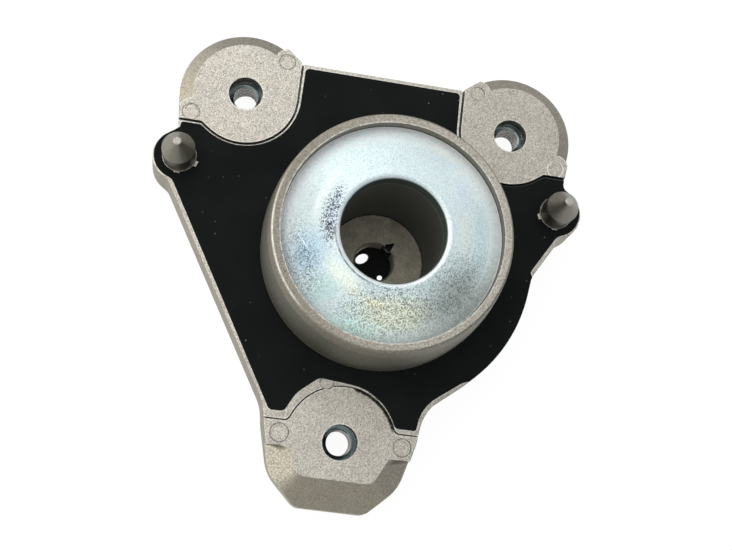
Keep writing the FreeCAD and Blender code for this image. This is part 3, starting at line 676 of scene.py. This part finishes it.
# The plating, coarser and darker in three places, and its tints.
coarse_spots = []
for centre, size, turn, core, share in coarse_places:
    coarse_spots.append(product(tree, spot(tree, centre, size, turn, core), share))
coarse = highest(tree, *coarse_spots)
fleck = spread(tree, grain.outputs["Grains"], *patch_span, -1.0, 1.0)
fleck = product(tree, fleck, spread(tree, coarse, 0.0, 1.0, 0.20, 1.00))
patch = spread(tree, grain.outputs["Patches"], *patch_span, 0.80, 0.90)
tone = combine(tree, "SUBTRACT", patch, product(tree, coarse, 0.26))
tone = combine(tree, "ADD", tone, fleck, True)
colour = blend_colour(tree, tone, *zinc)
grainy = blend_colour(tree, tone, *tint_grain)
for centre, size, turn, core, share, tint in zinc_tints:
    tinted = shader_node(tree, "ShaderNodeMix", {0: 1.0, 7: tint}, {6: grainy},
                         data_type="RGBA", blend_type="MULTIPLY")
    tint_share = product(tree, spot(tree, centre, size, turn, core), share)
    colour = blend_colour(tree, tint_share, colour, tinted.outputs[2])

# A painted highlight on the crest at the left, the rubbed patch inside it, and painted shade in the crease
# around the lip.
crest_left = spot(tree, (-0.024, 0.0085), (0.0080, 0.0160), turn=0.35, core=0.3)
crest_highlight = product(tree, ring(tree, axis, crest_radius, crest_width), crest_left, 0.5)
colour = blend_colour(tree, crest_highlight, colour, zinc_wear_and_highlight)
rubbed_left = spot(tree, (-0.0205, 0.0026), (0.0060, 0.0145), turn=-0.12, core=0.25)
rubbed = product(tree, ring(tree, axis, rubbed_radius, rubbed_width), rubbed_left)
colour = blend_colour(tree, product(tree, rubbed, 0.60), colour, zinc_rubbed[1])
density = combine(tree, "ADD", grain.outputs["Grains"], product(tree, rubbed, -0.19))
scuffs = product(tree, spread(tree, density, 0.42, 0.30), spread(tree, rubbed, 0.05, 0.25))
colour = blend_colour(tree, scuffs, colour, zinc_rubbed[0])
crease_front = spot(tree, (-0.0135, -0.0120), (0.0150, 0.0070), turn=-0.85, core=0.6)
crease_shade = product(tree, ring(tree, axis, crease_radius, crease_width), crease_front)
colour = blend_colour(tree, crease_shade, colour, zinc_shade_and_dot)

# Pale arcs at the right, and scratches.
arcs_right = spot(tree, (0.0300, 0.0060), (0.0110, 0.0240), core=0.5)
for radius in arc_radii:
    arc = product(tree, ring(tree, axis, radius, arc_width), arcs_right, 0.5)
    colour = blend_colour(tree, arc, colour, zinc_wear_and_highlight)
for centre, size, turn in scratches:
    scratch = product(tree, spot(tree, centre, size, turn, 0.3), 0.8)
    colour = blend_colour(tree, scratch, colour, zinc_wear_and_highlight)

# A painted highlight on the lip, strongest at the front, painted light on the outer margin, and painted shade
# on the collar down to its cut edge, which gets a painted highlight.
lip_highlight = product(tree, ring(tree, axis, lip_radius, lip_width), spread(tree, where["Y"], *lip_y, 0.15, 1.0))
colour = blend_colour(tree, lip_highlight, colour, zinc_wear_and_highlight)
margin_light = product(tree, ring(tree, axis, margin_radius, margin_width),
                 spread(tree, where["Y"], *margin_y, 0.25, 0.95))
colour = blend_colour(tree, margin_light, colour, blend_colour(tree, tone, zinc[1], zinc_wear_and_highlight))
collar_shade = product(tree, disc(tree, axis, collar_radius, 0.99), spread(tree, where["Z"], *collar_z))
colour = blend_colour(tree, collar_shade, colour, zinc_collar_shade)
colour = blend_colour(tree, spread(tree, where["Z"], *collar_edge_z), colour, zinc_wear_and_highlight)
colour = blend_colour(tree, product(tree, dots.outputs["Mask"], 0.7), colour, zinc_shade_and_dot)

gloss = spread(tree, grain.outputs["Grains"], *patch_span, *zinc_gloss)
metal = spread(tree, margin_light, 0.0, 0.6, zinc_metallic, margin_metallic)
finish_material(tree, {"Specular IOR Level": zinc_shine},
                {"Base Color": colour, "Roughness": gloss, "Metallic": metal},
                grain.outputs["Height"], depth=0.00008, strength=0.6)
paint_node("cover_washer", zinc_steel)

# Rubber bush: the thick ring of dark rubber moulded between the housing's cup and the core.
# Its bore, seen through the washer, is smooth and satin.
bush_dark = (0.086, 0.090, 0.076, 1.0)
bush_light = (0.150, 0.156, 0.134, 1.0)
bush_gloss = (0.45, 0.60)
bush_shine = 0.4
bush_rubber, tree = new_material("bush rubber")
grain = add_group(tree, fine_grain, Grain=1500.0, Patch=70.0)
colour = blend_colour(tree, grain.outputs["Patches"], bush_dark, bush_light)
gloss = spread(tree, grain.outputs["Patches"], *patch_span, *bush_gloss)
finish_material(tree, {"Specular IOR Level": bush_shine}, {"Base Color": colour, "Roughness": gloss},
                grain.outputs["Height"], depth=0.00005, strength=0.3)
paint_node("rubber_bush", bush_rubber)

# Inner core: the steel plate that the strut rod is bolted to, bonded into the bush.
# It is oiled and mottled brown, and painted shade darkens the key notch beside its rod hole.
core_dark = (0.33, 0.307, 0.235, 1.0)
core_light = (0.76, 0.705, 0.560, 1.0)
core_edge = (0.86, 0.82, 0.72, 1.0)
core_gloss = (0.50, 0.65)
core_metallic = 0.6
notch_place = (0.0052, 0.0064)
notch_reach = 0.0028
notch_z = (-0.0166, -0.0170)
core_steel, tree = new_material("core steel")
grain = add_group(tree, fine_grain, Grain=1800.0, Patch=210.0)
pits = add_group(tree, specks, Scale=420.0, Share=0.18, Size=0.12)
edges = add_group(tree, worn_edges, Width=0.0005, Grain=1500.0)
corner_shade = add_group(tree, crevice_shade, Reach=0.0012, Grain=900.0)
where = place_on_piece(tree)
patch = spread(tree, grain.outputs["Patches"], *patch_span, 0.2, 0.8)
fleck = spread(tree, grain.outputs["Grains"], *grain_span, -0.25, 0.25)
colour = blend_colour(tree, combine(tree, "ADD", patch, fleck, True), core_dark, core_light)
colour = blend_colour(tree, pits.outputs["Mask"], colour, pit_and_shade_black)
notch_shade = product(tree, disc(tree, notch_place, notch_reach, 0.9), spread(tree, where["Z"], *notch_z))
colour = blend_colour(tree, notch_shade, colour, pit_and_shade_black)
colour = blend_colour(tree, edges.outputs["Mask"], colour, core_edge)
# Painted shade in its grooves and corners.
colour = blend_colour(tree, corner_shade.outputs["Mask"], colour, pit_and_shade_black)
gloss = spread(tree, grain.outputs["Patches"], *patch_span, *core_gloss)
finish_material(tree, {"Metallic": core_metallic}, {"Base Color": colour, "Roughness": gloss},
                grain.outputs["Height"], depth=0.0001, strength=0.4)
paint_node("inner_core", core_steel)

# Threaded inserts: three zinc plated steel sleeves pressed into the bosses, each tapped for the bolt.
# One sleeve is turned and its thread cut, and the three in the mount are copies of it.
sleeve_radius = 0.00717
sleeve_low = -0.014
sleeve_high = -0.0035
sleeve_sides = 96
mouth_radius = 0.0057
bore_radius = 0.00425
lead_depth = 0.0017
thread_pitch = 0.0015
thread_root = 0.0050
thread_turns = 11
thread_steps = 48
tooth_radius = 0.00078
end_facing = 0.9
sharp_angle = math.radians(30.0)


def select_faces(mesh_object, wanted):
    """Selects, in edit mode, only the faces that pass a test."""
    bpy.ops.mesh.select_mode(type="FACE")
    bpy.ops.mesh.select_all(action="DESELECT")
    bpy.ops.object.mode_set(mode="OBJECT")
    for face in mesh_object.data.polygons:
        face.select = wanted(face)
    bpy.ops.object.mode_set(mode="EDIT")


bpy.ops.mesh.primitive_cylinder_add(
    vertices=sleeve_sides, radius=sleeve_radius, depth=sleeve_high - sleeve_low,
    location=(0.0, 0.0, (sleeve_low + sleeve_high) / 2))
sleeve = bpy.context.object
bpy.ops.object.transform_apply(location=True)

# The mouth is bored out and narrows to the bore, and the bore is opened through to the lower end.
bpy.ops.object.mode_set(mode="EDIT")
select_faces(sleeve, lambda face: face.normal.z > end_facing)
bpy.ops.mesh.inset(thickness=sleeve_radius - mouth_radius)
bpy.ops.mesh.extrude_region_move(TRANSFORM_OT_translate={"value": (0.0, 0.0, -lead_depth)})
bore_share = bore_radius / mouth_radius
bpy.ops.transform.resize(value=(bore_share, bore_share, 1.0), center_override=(0.0, 0.0, 0.0))
select_faces(sleeve, lambda face: face.normal.z < -end_facing)
bpy.ops.mesh.inset(thickness=sleeve_radius - bore_radius)
select_faces(sleeve, lambda face: abs(face.normal.z) > end_facing and len(face.vertices) > 4)
bpy.ops.mesh.bridge_edge_loops()
bpy.ops.object.mode_set(mode="OBJECT")

# The tap is one tooth of the thread, wound up through the sleeve and closed at its ends.
bpy.ops.object.select_all(action="DESELECT")
bpy.ops.mesh.primitive_circle_add(
    vertices=3, radius=tooth_radius, fill_type="NOTHING",
    location=(thread_root - tooth_radius, 0.0, sleeve_low - 2 * thread_pitch),
    rotation=(math.pi / 2, math.pi / 2, 0.0))
tap = bpy.context.object
bpy.ops.object.transform_apply(location=True, rotation=True)
winding = tap.modifiers.new("thread", "SCREW")
winding.axis = "Z"
winding.screw_offset = thread_pitch
winding.iterations = thread_turns
winding.steps = thread_steps
winding.render_steps = thread_steps
bpy.ops.object.modifier_apply(modifier=winding.name)
bpy.ops.object.mode_set(mode="EDIT")
bpy.ops.mesh.select_all(action="SELECT")
bpy.ops.mesh.fill_holes(sides=0)
bpy.ops.mesh.select_all(action="SELECT")
bpy.ops.mesh.normals_make_consistent(inside=False)
bpy.ops.object.mode_set(mode="OBJECT")

# It cuts the thread out of the sleeve's bore.
bpy.ops.object.select_all(action="DESELECT")
bpy.context.view_layer.objects.active = sleeve
sleeve.select_set(True)
cut = sleeve.modifiers.new("cut thread", "BOOLEAN")
cut.operation = "DIFFERENCE"
cut.object = tap
cut.solver = "EXACT"
bpy.ops.object.modifier_apply(modifier=cut.name)
bpy.data.objects.remove(tap)
bpy.ops.object.shade_smooth_by_angle(angle=sharp_angle)

# The plating is bluish at the mouth, and painted shade makes it dark brown down in the bore.
insert_dark = (0.20, 0.25, 0.255, 1.0)
insert_light = (0.50, 0.60, 0.615, 1.0)
shaded_bore_dark = (0.080, 0.077, 0.066, 1.0)
shaded_bore_light = (0.23, 0.22, 0.19, 1.0)
bore_z = (-0.0051, -0.0054)
insert_gloss = (0.16, 0.26)
insert_metallic = 1.0
insert_steel, tree = new_material("insert steel")
grain = add_group(tree, fine_grain, Grain=2500.0, Patch=300.0)
edges = add_group(tree, worn_edges, Width=0.0003, Grain=1500.0)
corner_shade = add_group(tree, crevice_shade, Reach=0.0012, Grain=900.0)
where = place_on_piece(tree)
mouth = blend_colour(tree, grain.outputs["Patches"], insert_dark, insert_light)
shaded_bore = blend_colour(tree, grain.outputs["Patches"], shaded_bore_dark, shaded_bore_light)
colour = blend_colour(tree, spread(tree, where["Z"], *bore_z), mouth, shaded_bore)
colour = blend_colour(tree, edges.outputs["Mask"], colour, zinc_wear_and_highlight)
# Painted shade in its corners and thread.
colour = blend_colour(tree, corner_shade.outputs["Mask"], colour, pit_and_shade_black)
gloss = spread(tree, grain.outputs["Patches"], *patch_span, *insert_gloss)
finish_material(tree, {"Metallic": insert_metallic}, {"Base Color": colour, "Roughness": gloss},
                grain.outputs["Height"], depth=0.00003, strength=0.3)
sleeve.data.materials.append(insert_steel)
for name, (bolt_x, bolt_y) in bolt_places.items():
    piece = sleeve.copy()
    piece.data = sleeve.data.copy()
    piece.name = f"tapped_insert_{name}"
    bpy.context.scene.collection.objects.link(piece)
    piece.data.transform(Matrix.Translation((bolt_x, bolt_y, 0.0)))
    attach(piece, "root")
    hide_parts(f"insert_{name}")
bpy.data.objects.remove(sleeve)
